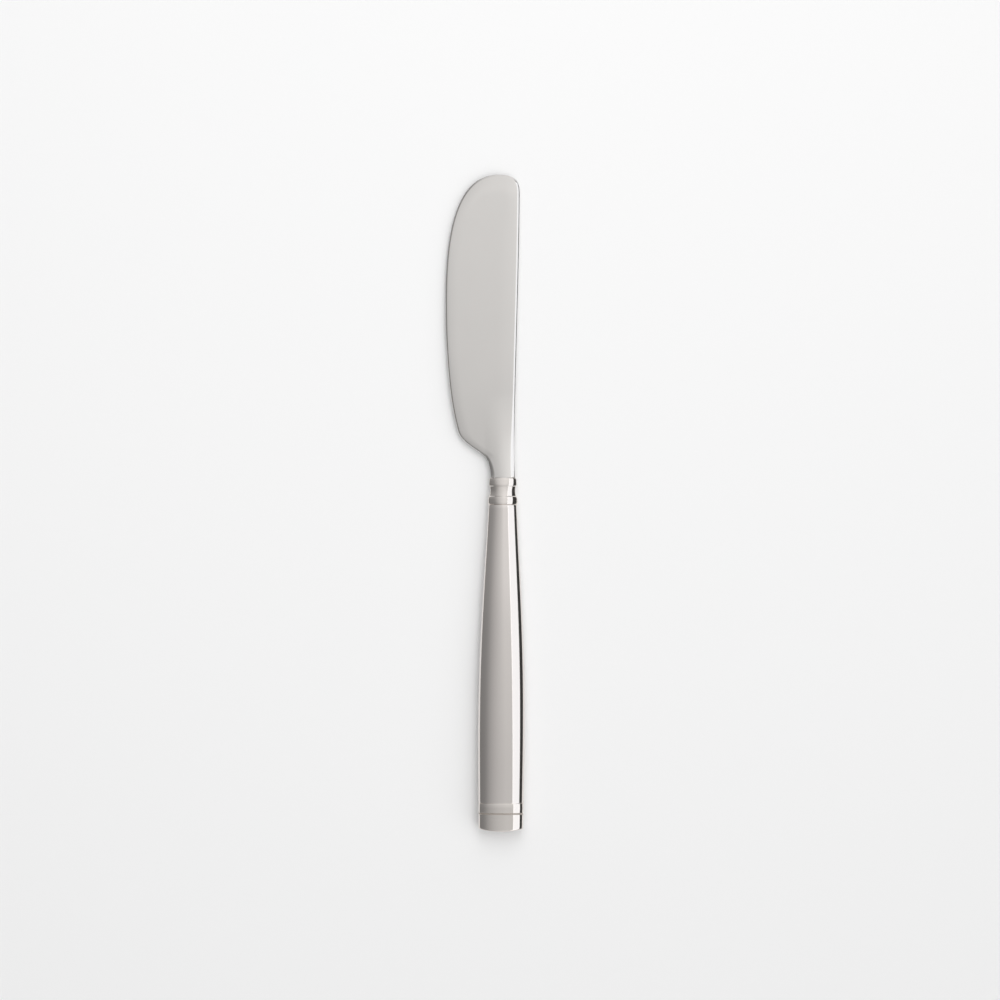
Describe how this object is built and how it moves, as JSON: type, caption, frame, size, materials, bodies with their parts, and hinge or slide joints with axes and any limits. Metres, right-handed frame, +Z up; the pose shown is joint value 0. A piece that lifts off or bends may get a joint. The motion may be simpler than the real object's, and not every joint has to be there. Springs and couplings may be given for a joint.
{
  "type": "butter knife",
  "caption": "Hollow-handle butter knife in polished steel: broad round-ended blade with a blunt bellied edge, beaded collar, slim oval handle and banded end cap.",
  "frame": {"origin": "middle of the handle's length and width, on the flat of its back that the knife lies on", "axes": "+Y along the handle to the tip of the blade, +X to the side of the spine, +Z up from the table"},
  "size_m": [0.0211, 0.17, 0.0065],
  "materials": {
    "polished_steel": "mirror-polished stainless steel",
    "silver_braze": "polished silver braze",
    "cement": "matt cast cement"
  },
  "bodies": {
    "root": {"blade": "polished_steel", "neck_collar": "polished_steel", "handle_front_shell": "polished_steel", "handle_back_shell": "polished_steel", "end_cap": "polished_steel", "seam_braze": "silver_braze", "collar_braze": "silver_braze", "cap_braze": "silver_braze", "handle_cement": "cement"}
  },
  "joints": []
}
